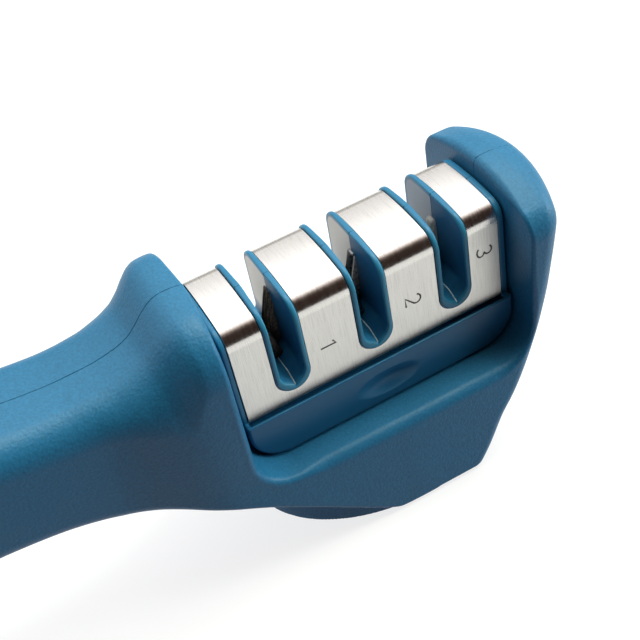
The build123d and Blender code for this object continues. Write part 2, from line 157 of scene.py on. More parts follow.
def body_field(x, y, z, side):
    ay = np.abs(y)
    t = 30.0 - z
    w = W_MID(x) + TILT(x) * ((t + np.sqrt(t * t + 16.0)) / 2 - 2.0)
    a = (ay - w) / np.sqrt(1 + W_MID.slope(x) ** 2)
    cr = CROWN(x) / 400.0
    b = (z - Z_TOP(x) + cr * y * y) / np.sqrt(1 + Z_TOP.slope(x) ** 2 + (2 * cr * y) ** 2)
    c = (Z_BOT(x) - z) / np.sqrt(1 + Z_BOT.slope(x) ** 2)
    f = rint(a, b, R_TOP(x))
    f = rint(f, c, R_BOT(x))
    f = rint(f, nose_gap(x, y, z), NOSE_R(z))
    f = rint(f, -106.2 - x, 2.0)
    foot = rint(foot_outline(x, y, 0.09 * z), 0.8 - z, 0.4)
    foot = np.maximum(np.maximum(foot, z - 23.0), x - 64.0)
    f = runi(f, foot, 0.7)
    # bay for the module, with softened edges
    k = ay / 28.0
    p = np.maximum(26.15 - 1.8 * k - x, x - 94.15 - 0.1 * k)
    bay = rint(p, 26.3 - 0.1 * k - z, 9.5)
    soft = 1.3 - 0.55 * np.clip((x - 88) / 5, 0, 1) * np.clip((z - 40) / 10, 0, 1) * np.clip((ay - 12) / 6, 0, 1) \
        + 0.5 * np.clip((x - 88) / 5, 0, 1) * np.clip((z - 60) / 6, 0, 1) * np.clip((14 - ay) / 6, 0, 1) \
        - 0.45 * np.clip((34 - x) / 5, 0, 1) * np.clip((z - 58) / 8, 0, 1) \
        + 1.1 * np.clip((x - 34) / 6, 0, 1) * np.clip((90 - x) / 6, 0, 1) * np.clip((36 - z) / 6, 0, 1)
    f = rint(f, -bay, soft)
    pocket = np.maximum(np.maximum(np.abs(x - 60.1) - 25.85, ay - 9.25), 16.65 - z)
    f = rint(f, -pocket, 0.6)
    rec = np.maximum(np.maximum(foot_outline(x, y, 2.3), z - 1.8), nose_gap(x, y, z) + 3.5)
    rec = np.maximum(rec, x - 96.0)
    f = rint(f, -rec, 0.25)
    if side > 0:
        for bx, bz in BOSSES:
            hole = np.maximum(np.hypot(x - bx, z - bz) - 3.0, 4.0 - y)
            f = rint(f, -hole, 0.35)
    n = np.clip((x - 80) / 8, 0, 1)
    return rint(f, -side * y + 0.03 - 0.026 * n, 0.15 - 0.13 * n)


def cover_gap(y, z, grow):
    zz = z - MZ
    ay = np.abs(y)
    sd = ay - (11.83 + grow - 0.017 * zz)
    tp = zz - (25.15 + grow + 0.42 * (1 - np.minimum(ay / 7.27, 1.0) ** 2))
    return rint(sd, tp, 4.2 + grow)


def slot_round(x, z, xc, hw):
    return np.hypot(x - xc, np.minimum(z - MZ - 7.25, 0.0)) - hw


def run_out(ay):
    """How far a slot's floor falls away at its mouths."""
    return 1.8 * np.clip((ay - 8.6) / 3.8, 0, 1) ** 1.25


def core_field(x, y, z, side):
    ay = np.abs(y)
    plates = np.minimum(np.maximum(MX - 1.4 - x, x - MX + 0.06), np.maximum(MX + 64.06 - x, x - MX - 65.75))
    plates = rint(np.maximum(plates, MZ - 3.0 - z), cover_gap(y, z, -0.1), 0.4)
    inner = np.maximum(np.maximum(MX - 0.4 - x, x - MX - 64.4), np.maximum(cover_gap(y, z, -0.75), MZ - 3.0 - z))
    f = np.minimum(plates, inner)
    out = cover_gap(y, z, 0.5)
    for s in SLOTS:
        lip = np.maximum(rint(slot_round(x, z, MX + s, 4.03), out, 0.45), MZ + 2.0 - z)
        f = np.minimum(f, lip)
    u = rint(np.maximum(MX - 1.25 - x, x - MX - 65.6), MZ - 12.2 - z, 8.8)
    e = ((x - MX - 32.6) / 8.2) ** 2 + ((z - MZ + 6.3) / 3.7) ** 2
    dim = 1.3 * np.clip(1 - e, 0, 1) ** 1.7
    sk = rint(rint(u, ay - 13.75 + dim, 0.7), z - MZ - 0.1, 0.38)
    gr = np.maximum(np.maximum(MX - 0.3 - x, x - MX - 63.7), np.maximum(ay - 13.1, MZ - 1.6 - z))
    sk = rint(sk, -gr, 0.15)
    f = np.minimum(f, sk)
    plug = rint(rint(np.abs(x - MX - 32.1) - 25.5, ay - 8.9, 0.8), MZ - 22.0 - z, 0.8)
    plug = np.maximum(plug, z - MZ + 8.0)
    f = np.minimum(f, plug)
    hw = 2.62 + 0.4 * ay / 14.0
    for s in SLOTS:
        q = np.abs(x - MX - s)
        vee = (MZ + 6.0 - run_out(ay) + 0.75 * q - z) * 0.8
        hole = rint(q - hw, vee, 0.5 + 0.7 * np.clip((ay - 8.5) / 3.0, 0, 1))
        f = rint(f, -hole, 0.34)
    return rint(f, -side * y + 0.03, 0.13)


def pad_field(x, y, z):
    o = np.maximum(foot_outline(x, y, 2.4), nose_gap(x, y, z * 0 + 0.9) + 3.6)
    f = rint(o, np.abs(z - 0.9) - 0.9, 0.35)
    rim = np.abs(o + 3.4) - 0.7
    f = rint(f, -np.maximum(rim, z - 0.35), 0.12)
    row = np.abs((x + 0.35 * np.abs(y)) % 4.2 - 2.1) - 0.55
    return rint(f, -np.maximum(np.maximum(row, o + 5.6), z - 0.3), 0.1)


# ------------------------------------------------------------------ meshing of a field
def steps(*spans):
    """Grid lines from (start, end, step) spans that follow on one another."""
    out = [spans[0][0]]
    for a, b, h in spans:
        n = max(1, int(round((b - a) / h)))
        out += list(np.linspace(a, b, n + 1)[1:])
    return np.array(out)


def surface(field, xs, ys, zs, rounds=4):
    """Closed quad skin of field = 0 on a grid with uneven steps, with exact normals."""
    gx, gy, gz = np.meshgrid(xs, ys, zs, indexing="ij")
    val = field(gx.ravel(), gy.ravel(), gz.ravel()).reshape(gx.shape)
    ins = val < 0
    nx, ny, nz = (n - 1 for n in val.shape)
    cnt = np.zeros((nx, ny, nz), np.int8)
    for dx in (0, 1):
        for dy in (0, 1):
            for dz in (0, 1):
                cnt += ins[dx:dx + nx, dy:dy + ny, dz:dz + nz]
    act = (cnt > 0) & (cnt < 8)
    idx = np.full(act.shape, -1, np.int64)
    ci, cj, ck = np.nonzero(act)
    idx[ci, cj, ck] = np.arange(len(ci))
    acc = np.zeros((len(ci), 3))
    num = np.zeros(len(ci))
    grid = (xs, ys, zs)
    for ax in range(3):
        o1, o2 = [k for k in range(3) if k != ax]
        for p in (0, 1):
            for q in (0, 1):
                off = [0, 0, 0]
                off[o1], off[o2] = p, q
                a = (ci + off[0], cj + off[1], ck + off[2])
                off[ax] = 1
                b = (ci + off[0], cj + off[1], ck + off[2])
                va, vb = val[a], val[b]
                m = (va < 0) != (vb < 0)
                t = np.where(m, va / np.where(m, va - vb, 1.0), 0.0)
                for d in range(3):
                    pa, pb = grid[d][a[d]], grid[d][b[d]]
                    acc[:, d] += np.where(m, pa + (pb - pa) * t, 0.0)
                num += m
    pos = acc / num[:, None]
    faces = []
    for ax in range(3):
        o1, o2 = [k for k in range(3) if k != ax]
        lo = [slice(None)] * 3
        hi = [slice(None)] * 3
        lo[ax], hi[ax] = slice(0, -1), slice(1, None)
        a, b = ins[tuple(lo)], ins[tuple(hi)]
        e = np.nonzero(a != b)
        e = [v.copy() for v in e]
        good = (e[o1] > 0) & (e[o2] > 0) & (e[o1] < val.shape[o1] - 1) & (e[o2] < val.shape[o2] - 1)
        e = [v[good] for v in e]
        inside = a[tuple(e)]
        quad = []
        for p, q in ((-1, -1), (0, -1), (0, 0), (-1, 0)):
            c = [v.copy() for v in e]
            c[o1] += p
            c[o2] += q
            quad.append(idx[tuple(c)])
        quad = np.stack(quad, 1)
        flip = inside if ax != 1 else ~inside
        quad = np.where(flip[:, None], quad, quad[:, ::-1])
        faces.append(quad)
    faces = np.concatenate(faces)
    cell = np.stack([np.diff(xs)[ci], np.diff(ys)[cj], np.diff(zs)[ck]], 1)
    eps = 0.03
    start = pos.copy()

    def grad(p):
        g = np.empty_like(p)
        for d in range(3):
            h = np.zeros(3)
            h[d] = eps
            g[:, d] = (field(*(p + h).T) - field(*(p - h).T)) / (2 * eps)
        return g
    for _ in range(rounds):
        g = grad(pos)
        v = field(*pos.T)
        step = g * (v / np.maximum((g * g).sum(1), 1e-3))[:, None]
        pos = pos - np.clip(step, -0.5 * cell, 0.5 * cell)
        pos = np.clip(pos, start - 0.9 * cell, start + 0.9 * cell)
    g = grad(pos)
    nrm = g / np.maximum(np.linalg.norm(g, axis=1), 1e-9)[:, None]
    return pos, faces, nrm


def mesh_object(name, pos, faces, nrm=None):
    me = bpy.data.meshes.new(name)
    me.vertices.add(len(pos))
    me.vertices.foreach_set("co", (np.asarray(pos) * MM).astype(np.float32).ravel())
    n = faces.shape[1]
    me.loops.add(faces.size)
    me.loops.foreach_set("vertex_index", faces.astype(np.int32).ravel())
    me.polygons.add(len(faces))
    me.polygons.foreach_set("loop_start", np.arange(0, faces.size, n, dtype=np.int32))
    me.update(calc_edges=True)
    me.validate()
    me.polygons.foreach_set("use_smooth", np.ones(len(me.polygons), bool))
    if nrm is not None:
        me.normals_split_custom_set_from_vertices([tuple(v) for v in nrm])
    o = bpy.data.objects.new(name, me)
    bpy.context.scene.collection.objects.link(o)
    return o


# ------------------------------------------------------------------ material helpers
def new_mat(name):
    m = bpy.data.materials.new(name)
    m.use_nodes = True
    nt = m.node_tree
    for n in list(nt.nodes):
        nt.nodes.remove(n)
    out = nt.nodes.new("ShaderNodeOutputMaterial")
    bs = nt.nodes.new("ShaderNodeBsdfPrincipled")
    nt.links.new(bs.outputs[0], out.inputs[0])
    return m, nt, bs


def node(nt, kind, inputs=None, **props):
    n = nt.nodes.new(kind)
    for k, v in props.items():
        setattr(n, k, v)
    for k, v in (inputs or {}).items():
        s = n.inputs[k]
        if isinstance(v, bpy.types.NodeSocket):
            nt.links.new(v, s)
        else:
            s.default_value = v
    return n


def ramp(nt, fac, stops):
    r = nt.nodes.new("ShaderNodeValToRGB")
    nt.links.new(fac, r.inputs[0])
    e = r.color_ramp.elements
    while len(e) < len(stops):
        e.new(0.5)
    for el, (p, c) in zip(e, stops):
        el.position = p
        el.color = c if len(c) == 4 else (*c, 1)
    return r.outputs[0]


def coords(nt, scale=(1, 1, 1), uv=None):
    if uv:
        src = node(nt, "ShaderNodeUVMap", uv_map=uv).outputs[0]
    else:
        src = node(nt, "ShaderNodeTexCoord").outputs["Object"]
    return node(nt, "ShaderNodeMapping", {"Vector": src, "Scale": scale}).outputs[0]


def plastic(name, base, dark, rough, grain, fine, tone=0.05, spec=0.5, reflection_tint=None):
    """Moulded plastic with a fine spark-eroded texture, faint flow tone and roughness that varies a little; with a
    reflection tint given, it also mixes in a painted pale reflection and a painted lighter blue for light on the lip
    ring.
    """
    m, nt, bs = new_mat(name)
    co = coords(nt)
    big = node(nt, "ShaderNodeTexNoise", {"Vector": co, "Scale": 38.0, "Detail": 3.0}).outputs[0]
    col = ramp(nt, big, [(0.3, dark), (0.7, base)])
    sp = node(nt, "ShaderNodeTexNoise", {"Vector": co, "Scale": 1900.0, "Detail": 2.0}).outputs[0]
    mix = node(nt, "ShaderNodeMix", {"Factor": tone}, data_type="RGBA", blend_type="OVERLAY")
    nt.links.new(col, mix.inputs["A"])
    nt.links.new(sp, mix.inputs["B"])
    top = mix.outputs["Result"]
    if reflection_tint:
        # painted reflection: a pale grey mixed in where the mask asks, standing in for the bright surroundings the
        # back slot walls mirror
        at = node(nt, "ShaderNodeAttribute", attribute_name="painted_reflection").outputs["Fac"]
        mh = node(nt, "ShaderNodeMix", {"Factor": at}, data_type="RGBA")
        nt.links.new(top, mh.inputs["A"])
        mh.inputs["B"].default_value = (*reflection_tint, 1.0)
        top = mh.outputs["Result"]
        # painted light: a lighter blue on the lip ring round the cover, for light caught on its rounded lips
        at = node(nt, "ShaderNodeAttribute", attribute_name="painted_lip_light").outputs["Fac"]
        mt = node(nt, "ShaderNodeMix", {"Factor": at}, data_type="RGBA")
        nt.links.new(top, mt.inputs["A"])
        mt.inputs["B"].default_value = (0.032, 0.200, 0.325, 1.0)
        top = mt.outputs["Result"]
    nt.links.new(top, bs.inputs["Base Color"])
    rr = node(nt, "ShaderNodeMapRange", {"Value": big, "From Min": 0.3, "From Max": 0.7,
                                         "To Min": rough - 0.035, "To Max": rough + 0.035}).outputs[0]
    nt.links.new(rr, bs.inputs["Roughness"])
    g1 = node(nt, "ShaderNodeTexNoise", {"Vector": co, "Scale": fine, "Detail": 3.0, "Roughness": 0.6}).outputs[0]
    g2 = node(nt, "ShaderNodeTexVoronoi", {"Vector": co, "Scale": fine * 0.8}, feature="SMOOTH_F1").outputs[0]
    add = node(nt, "ShaderNodeMath", {0: g1, 1: g2}, operation="ADD").outputs[0]
    bump = node(nt, "ShaderNodeBump", {"Height": add, "Strength": 1.0, "Distance": grain * MM}).outputs[0]
    nt.links.new(bump, bs.inputs["Normal"])
    bs.inputs["IOR"].default_value = 1.48
    bs.inputs["Specular IOR Level"].default_value = spec
    return m


def steel_mat():
    """Sheet brushed across its width: satin faces, clearer polish and streaks round the bends."""
    m, nt, bs = new_mat("brushed_steel")
    uv = node(nt, "ShaderNodeUVMap", uv_map="brush").outputs[0]
    f1 = node(nt, "ShaderNodeMapping", {"Vector": uv, "Scale": (46.0, 1.6, 1.0)}).outputs[0]
    f2 = node(nt, "ShaderNodeMapping", {"Vector": uv, "Scale": (17.0, 0.7, 1.0)}).outputs[0]
    f3 = node(nt, "ShaderNodeMapping", {"Vector": uv, "Scale": (60.0, 60.0, 1.0)}).outputs[0]
    n1 = node(nt, "ShaderNodeTexNoise", {"Vector": f1, "Scale": 10.0, "Detail": 3.0}).outputs[0]
    n2 = node(nt, "ShaderNodeTexNoise", {"Vector": f2, "Scale": 10.0, "Detail": 2.0}).outputs[0]
    n3 = node(nt, "ShaderNodeTexNoise", {"Vector": f3, "Scale": 10.0, "Detail": 3.0}).outputs[0]
    sp = node(nt, "ShaderNodeSeparateXYZ", {0: uv}).outputs
    away = node(nt, "ShaderNodeMath", {0: sp[1]}, operation="ABSOLUTE").outputs[0]
    bend = ramp(nt, node(nt, "ShaderNodeMapRange", {"Value": away, "From Min": 0.0, "From Max": 0.2}).outputs[0],
                [(0.30, (0.55, 0.55, 0.55)), (0.40, (1, 1, 1)), (0.675, (1, 1, 1)), (0.695, (0, 0, 0))])
    mix = node(nt, "ShaderNodeMath", {0: n1, 1: n3}, operation="ADD").outputs[0]
    col = ramp(nt, mix, [(0.75, (0.485, 0.471, 0.454)), (1.25, (0.600, 0.587, 0.570))])
    nt.links.new(col, bs.inputs["Base Color"])
    bs.inputs["Metallic"].default_value = 1.0
    r0 = node(nt, "ShaderNodeMapRange", {"Value": n2, "From Min": 0.3, "From Max": 0.7,
                                         "To Min": 0.42, "To Max": 0.50}).outputs[0]
    r1 = node(nt, "ShaderNodeMapRange", {"Value": n2, "From Min": 0.3, "From Max": 0.7,
                                         "To Min": 0.17, "To Max": 0.25}).outputs[0]
    rr = node(nt, "ShaderNodeMix", {"Factor": bend, "A": r0, "B": r1}, data_type="FLOAT").outputs[0]
    nt.links.new(rr, bs.inputs["Roughness"])
    ad = node(nt, "ShaderNodeMath", {0: n1, 1: n2}, operation="ADD").outputs[0]
    bump = node(nt, "ShaderNodeBump", {"Height": ad, "Strength": 0.5, "Distance": 0.034 * MM}).outputs[0]
    nt.links.new(bump, bs.inputs["Normal"])
    return m


def flat_metal(name, c0, c1, rough, fine, bump_mm, metallic=1.0):
    m, nt, bs = new_mat(name)
    co = coords(nt)
    n1 = node(nt, "ShaderNodeTexNoise", {"Vector": co, "Scale": fine, "Detail": 4.0}).outputs[0]
    col = ramp(nt, n1, [(0.35, c0), (0.65, c1)])
    nt.links.new(col, bs.inputs["Base Color"])
    bs.inputs["Metallic"].default_value = metallic
    rr = node(nt, "ShaderNodeMapRange", {"Value": n1, "From Min": 0.3, "From Max": 0.7,
                                         "To Min": rough - 0.05, "To Max": rough + 0.08}).outputs[0]
    nt.links.new(rr, bs.inputs["Roughness"])
    bump = node(nt, "ShaderNodeBump", {"Height": n1, "Strength": 1.0, "Distance": bump_mm * MM}).outputs[0]
    nt.links.new(bump, bs.inputs["Normal"])
    return m


BODY = plastic("body_plastic", (0.014, 0.109, 0.221), (0.012, 0.100, 0.205), 0.43, 0.050, 1850.0, 0.34, 0.215)
# the last colour is a painted reflection, pale grey for the back halves of the slot walls
CORE = plastic("module_plastic", (0.014, 0.111, 0.232), (0.012, 0.102, 0.215), 0.33, 0.005, 1500.0, 0.05, 0.20,
               (0.60, 0.57, 0.54))
STEEL = steel_mat()
RUBBER = plastic("foot_rubber", (0.022, 0.022, 0.024), (0.017, 0.017, 0.019), 0.75, 0.05, 1200.0, 0.1)
SCREW = flat_metal("screw_zinc", (0.50, 0.50, 0.51), (0.66, 0.66, 0.67), 0.32, 900.0, 0.01)
GRIT = flat_metal("diamond_grit", (0.010, 0.008, 0.006), (0.085, 0.070, 0.055), 0.42, 3200.0, 0.10, 0.5)
CARBIDE = flat_metal("carbide_ground", (0.10, 0.10, 0.105), (0.19, 0.19, 0.195), 0.30, 1400.0, 0.008)
CERAMIC = flat_metal("ceramic_body", (0.34, 0.33, 0.31), (0.42, 0.41, 0.385), 0.42, 1600.0, 0.012, 0.0)
# painted highlight: pale blue-grey for the bright line along each slot floor's crease
RIB_HIGHLIGHT = flat_metal("rib_painted_highlight", (0.42, 0.55, 0.62), (0.56, 0.66, 0.72), 0.35, 1800.0, 0.006, 0.0)
MARK = flat_metal("mark_etched", (0.045, 0.042, 0.040), (0.09, 0.085, 0.08), 0.6, 3000.0, 0.01, 0.3)


def dress(o, mat, body, slot, *nodes):
    o.data.materials.clear()
    o.data.materials.append(mat)
    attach(o, body)
    if nodes:
        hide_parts(*nodes)
    return o


# ------------------------------------------------------------------ body halves
H = 1.0
bx = steps((-106.8, -98, 0.6 * H), (-98, -4, 0.95 * H), (-4, 22, 0.55 * H), (22, 36.5, 0.42 * H),
           (36.5, 83, 0.7 * H), (83, 107.4, 0.42 * H))
bz = steps((0.4, 2.6, 0.3 * H), (2.6, 22, 0.6 * H), (22, 38, 0.42 * H), (38, 58, 0.6 * H), (58, 73.0, 0.42 * H))
yo = steps((0.0, 0.5, 0.08 * H), (0.5, 1.4, 0.22 * H), (1.4, 12, 0.7 * H), (12, 24.6, 0.42 * H))
yo = np.concatenate([[-0.08 * H], yo])
for tag, side in (("front", -1), ("back", 1)):
    ys = yo if side > 0 else -yo[::-1]
    p, q, n = surface(lambda x, y, z: body_field(x, y, z, side), bx, ys, bz)
    o = mesh_object("body_half_" + tag, p, q, n)
    dress(o, BODY, "root", "blue_plastic", "body_shell_" + tag)

# ------------------------------------------------------------------ module core halves
sx = []
edge = MX - 1.7
for s in SLOTS:
    c = MX + s
    sx.append((edge, c - 4.5, 0.34 * H if edge < MX else 0.9 * H))
    sx.append((c - 4.5, c + 4.5, 0.26 * H))
    edge = c + 4.5
sx.append((edge, MX + 63.4, 0.9 * H))
sx.append((MX + 63.4, MX + 66.0, 0.26 * H))
cx = steps(*sx)
cz = steps((MZ - 22.4, MZ - 12.6, 0.8 * H), (MZ - 12.6, MZ + 1.6, 0.34 * H), (MZ + 1.6, MZ + 13, 0.3 * H),
           (MZ + 13, MZ + 20, 0.5 * H), (MZ + 20, MZ + 26.6, 0.3 * H))
yc = np.concatenate([[-0.08 * H], steps((0.0, 0.4, 0.08 * H), (0.4, 1.0, 0.15 * H), (1.0, 9.6, 0.5 * H), (9.6, 14.1, 0.24 * H))])
for tag, side in (("front", -1), ("back", 1)):
    ys = yc if side > 0 else -yc[::-1]
    p, q, n = surface(lambda x, y, z: core_field(x, y, z, side), cx, ys, cz)
    o = mesh_object("module_half_" + tag, p, q, n)
    # painted reflection: a pale grey mask on the back halves of the slot walls, for the bright surroundings they
    # mirror
    painted_reflection = np.zeros(len(p))
    for s, k in zip(SLOTS, (1.0, 0.9, 0.35)):
        painted_reflection += k * (np.abs(p[:, 0] - MX - s) < 3.12)
    painted_reflection *= (side > 0) * np.clip((-0.75 - cover_gap(p[:, 1], p[:, 2], 0.5)) / 0.4, 0, 1)
    painted_reflection *= np.clip((p[:, 2] - MZ - 9.5) / 2.0, 0, 1) * (np.abs(n[:, 0]) > 0.8)
    o.data.attributes.new("painted_reflection", "FLOAT", "POINT").data.foreach_set("value", painted_reflection.astype(np.float32))
    # painted light: the lip ring round the cover made lighter blue, more on its side-facing faces, for light caught
    # on the rounded lips
    gap = cover_gap(p[:, 1], p[:, 2], 0.5)
    painted_lip_light = np.clip((gap + 0.75) / 0.35, 0, 1) * (p[:, 2] > MZ + 0.4)
    painted_lip_light *= np.clip(1.15 - n[:, 2], 0, 1) * np.clip((13.0 - np.abs(p[:, 1])) / 0.4, 0, 1)
    o.data.attributes.new("painted_lip_light", "FLOAT", "POINT").data.foreach_set("value", painted_lip_light.astype(np.float32))
    dress(o, CORE, "module", "module_plastic", "module_core_" + tag)

# ------------------------------------------------------------------ rubber foot
p, q, n = surface(pad_field, steps((29.5, 82.0, 0.5 * H)), steps((-22.0, 22.0, 0.5 * H)),
                  steps((-0.15, 0.6, 0.12 * H), (0.6, 2.0, 0.25 * H)))
o = mesh_object("foot_pad", p, q, n)
dress(o, RUBBER, "root", "rubber", "non_slip_pad")


# ------------------------------------------------------------------ steel cover
def cover_path():
    """Half of the cover's outline from the crown down one side: rows of s, y, z."""
    rows = []
    for y in np.linspace(0, 7.27, 10):
        rows.append((y, 25.15 + 0.42 * (1 - (y / 7.27) ** 2)))
    for k in range(1, 19):
        a = math.pi / 2 * (1 - k / 18.0) + 0.017 * k / 18.0
        rows.append((7.27 + 4.2 * math.cos(a), 20.95 + 4.2 * math.sin(a)))
    y0, z0 = rows[-1]
    for k in range(1, 16):
        z = z0 * (1 - k / 15.0)
        rows.append((y0 + (11.83 - y0) * k / 15.0, z))
    rows = np.array(rows)
    s = np.concatenate([[0], np.cumsum(np.hypot(*np.diff(rows, axis=0).T))])
    return s, rows


CS, CR = cover_path()
S_END = CS[-1]
S_ROUND = np.interp(-7.25, -CR[::-1, 1][::-1], CS)


def wrap(x, s):
    """Cover surface point from its flat pattern: x along, s across from the crown."""
    y = np.interp(abs(s), CS, CR[:, 0]) * (1 if s > 0 else -1)
    return (MX + x, y, MZ + np.interp(abs(s), CS, CR[:, 1]))


def cover_mesh():
    bm = bmesh.new()
    uv = bm.loops.layers.uv.new("brush")
    cache = {}

    def vert(x, s):
        k = (round(x, 4), round(s, 4))
        if k not in cache:
            cache[k] = (bm.verts.new([c * MM for c in wrap(x, s)]), k)
        return cache[k]

    def patch(grid):
        for r0, r1 in zip(grid, grid[1:]):
            for a, b, c, d in zip(r0, r0[1:], r1[1:], r1):
                f = bm.faces.new([a[0], b[0], c[0], d[0]])
                f.smooth = True
                for lp, w in zip(f.loops, (a, b, c, d)):
                    lp[uv].uv = (w[1][0] * 0.01, w[1][1] * 0.01)
    low = np.linspace(S_END, S_ROUND, 6)
    mid = [s for s in (23.0, 19.5, 16.5, 14.9, 14.3)]
    bend = [14.0] + list(np.linspace(13.8, 7.1, 19)) + [5.4, 3.6, 1.8, 0.0]
    half = list(low) + [s for s in mid if s < S_ROUND - 0.5] + bend
    rows = half + [-s for s in half[::-1][1:]]
    edges = [0.0]
    for s in SLOTS:
        edges += [s - 4.2, s + 4.2]
    edges.append(64.0)
    for a, b in zip(edges[::2], edges[1::2]):
        cols = np.linspace(a, b, max(4, int((b - a) / 1.3)))
        patch([[vert(x, s) for x in cols] for s in rows])
    for c in SLOTS:
        us = np.linspace(0, math.pi, 25)
        for sg in (1, -1):
            g = []
            for k in range(6):
                row = []
                for u in us:
                    top = S_ROUND + 4.2 * math.sin(u)
                    row.append(vert(c - 4.2 * math.cos(u), sg * (S_END + (top - S_END) * k / 5.0)))
                g.append(row)
            patch(g if sg > 0 else g[::-1])
    bmesh.ops.recalc_face_normals(bm, faces=bm.faces)
    up = max(bm.faces, key=lambda f: f.calc_center_median().z)
    if up.normal.z < 0:
        bmesh.ops.reverse_faces(bm, faces=bm.faces)
    me = bpy.data.meshes.new("module_steel_cover")
    bm.to_mesh(me)
    bm.free()
    o = bpy.data.objects.new("module_steel_cover", me)
    bpy.context.scene.collection.objects.link(o)
    sol = o.modifiers.new("sheet", "SOLIDIFY")
    sol.thickness = 0.6 * MM
    sol.offset = -1.0
    sol.use_even_offset = True
    bev = o.modifiers.new("edge", "BEVEL")
    bev.width = 0.11 * MM
    bev.segments = 2
    bev.limit_method = "ANGLE"
    bev.angle_limit = math.radians(50)
    bev.use_clamp_overlap = True
    dg = bpy.context.evaluated_depsgraph_get()
    made = bpy.data.meshes.new_from_object(o.evaluated_get(dg))
    o.modifiers.clear()
    o.data = made
    wn = o.modifiers.new("flat", "WEIGHTED_NORMAL")
    wn.weight = 60
    dg = bpy.context.evaluated_depsgraph_get()
    made = bpy.data.meshes.new_from_object(o.evaluated_get(dg))
    o.modifiers.clear()
    o.data = made
    o.data.name = "module_steel_cover"
    return o


dress(cover_mesh(), STEEL, "module", "steel", "module_cover")


# ------------------------------------------------------------------ sharpening bars
def bar_mesh(name, size, edge_r, seg, subdiv=0, grit=0.0):
    bm = bmesh.new()
    w, t, l = size
    r = bmesh.ops.create_grid(bm, x_segments=1, y_segments=1, size=0.5)
    for v in r["verts"]:
        v.co = Vector((v.co.x * w, v.co.y * t, -l / 2)) * MM
    ext = bmesh.ops.extrude_face_region(bm, geom=list(bm.faces))
    for v in [g for g in ext["geom"] if isinstance(g, bmesh.types.BMVert)]:
        v.co.z += l * MM
    bmesh.ops.recalc_face_normals(bm, faces=bm.faces)
    bmesh.ops.bevel(bm, geom=list(bm.edges), offset=edge_r * MM, segments=seg, profile=0.5, affect="EDGES")
    if subdiv:
        bmesh.ops.subdivide_edges(bm, edges=[e for e in bm.edges if e.calc_length() > 0.9 * MM], cuts=subdiv,
                                  use_grid_fill=True)
        bmesh.ops.triangulate(bm, faces=bm.faces)
    if grit:
        bm.normal_update()
        for v in bm.verts:
            v.co += v.normal * (RNG.rand() - 0.8) * grit * MM
    me = bpy.data.meshes.new(name)
    bm.to_mesh(me)
    bm.free()
    for f in me.polygons:
        f.use_smooth = not grit
    o = bpy.data.objects.new(name, me)
    bpy.context.scene.collection.objects.link(o)
    return o


KIND = (("diamond_bar", "diamond", GRIT, 4.0, 9.2, 0.5), ("carbide_blade", "carbide", CARBIDE, 3.6, 8.2, 0.75),
        ("ceramic_rod", "ceramic", CERAMIC, 3.8, 6.8, 0.95))
for i, (kind, slot, mat, width, up, er) in enumerate(KIND):
    for j, (lean, tag) in enumerate(((-1, "front"), (1, "middle"), (-1, "back"))):
        name = "stage%d_%s_%s" % (i + 1, kind, tag)
        o = bar_mesh("looks_" + name, (width, 2.86, up + 8.9), er, 4 if i else 2, 0 if i else 9, 0.0 if i else 0.16)
        m = Matrix.Translation((MX * MM + SLOTS[i] * MM, (j - 1) * 3.06 * MM, (MZ + 13.2) * MM)) \
            @ Matrix.Rotation(math.radians(15.0 * lean), 4, "Y") \
            @ Matrix.Translation((lean * width / 2 * MM, 0, (up - 8.9) / 2 * MM))
        o.data.transform(m)
        if i:
            wn = o.modifiers.new("flat", "WEIGHTED_NORMAL")
        dress(o, mat, "module", slot, name)


# ------------------------------------------------------------------ numerals 1, 2, 3 etched beside the slots
def arc(cx, cy, rx, ry, a0, a1, n=12):
    return [(cx + rx * math.cos(math.radians(a0 + (a1 - a0) * k / n)),
             cy + ry * math.sin(math.radians(a0 + (a1 - a0) * k / n))) for k in range(n + 1)]


GLYPH = {
    1: [[(0.16, 0.80), (0.44, 1.0), (0.44, 0.0)]],
    2: [arc(0.36, 0.70, 0.32, 0.30, 165, -35, 14) + [(0.04, 0.0), (0.70, 0.0)]],
    3: [arc(0.34, 0.74, 0.29, 0.26, 150, -80, 12) + arc(0.34, 0.25, 0.34, 0.25, 80, -150, 14)],
}


def numeral(digit, xc, zc, high, pen):
    """Strokes laid on the cover's front, turned to read downwards."""
    bm = bmesh.new()
    for line in GLYPH[digit]:
        pts = [np.array(p) * high for p in line]
        left, right = [], []
        for k, p in enumerate(pts):
            a = pts[max(k - 1, 0)]
            b = pts[min(k + 1, len(pts) - 1)]
            d = (b - a) / (np.linalg.norm(b - a) + 1e-9)
            nn = np.array((-d[1], d[0])) * pen / 2
            for lst, q in ((left, p + nn), (right, p - nn)):
                u, v = q[0] - 0.36 * high, q[1] - 0.5 * high
                x, z = xc + v, zc - u
                y = -(11.83 - 0.017 * z) - 0.012
                lst.append(bm.verts.new(((MX + x) * MM, y * MM, (MZ + z) * MM)))
        for k in range(len(pts) - 1):
            bm.faces.new((left[k], left[k + 1], right[k + 1], right[k]))
    bmesh.ops.recalc_face_normals(bm, faces=bm.faces)
    for f in bm.faces:
        if f.normal.y > 0:
            f.normal_flip()
    ext = bmesh.ops.extrude_face_region(bm, geom=list(bm.faces))
    for v in [g for g in ext["geom"] if isinstance(g, bmesh.types.BMVert)]:
        v.co.y += 0.02 * MM
    bmesh.ops.recalc_face_normals(bm, faces=bm.faces)
    me = bpy.data.meshes.new("numeral_%d" % digit)
    bm.to_mesh(me)
    bm.free()
    o = bpy.data.objects.new("numeral_%d" % digit, me)
    bpy.context.scene.collection.objects.link(o)
    return o


for digit, (xc, zc) in zip((1, 2, 3), ((21.0, 10.6), (41.9, 11.2), (60.3, 14.8))):
    dress(numeral(digit, xc, zc, 3.7, 0.42), MARK, "module", "steel")
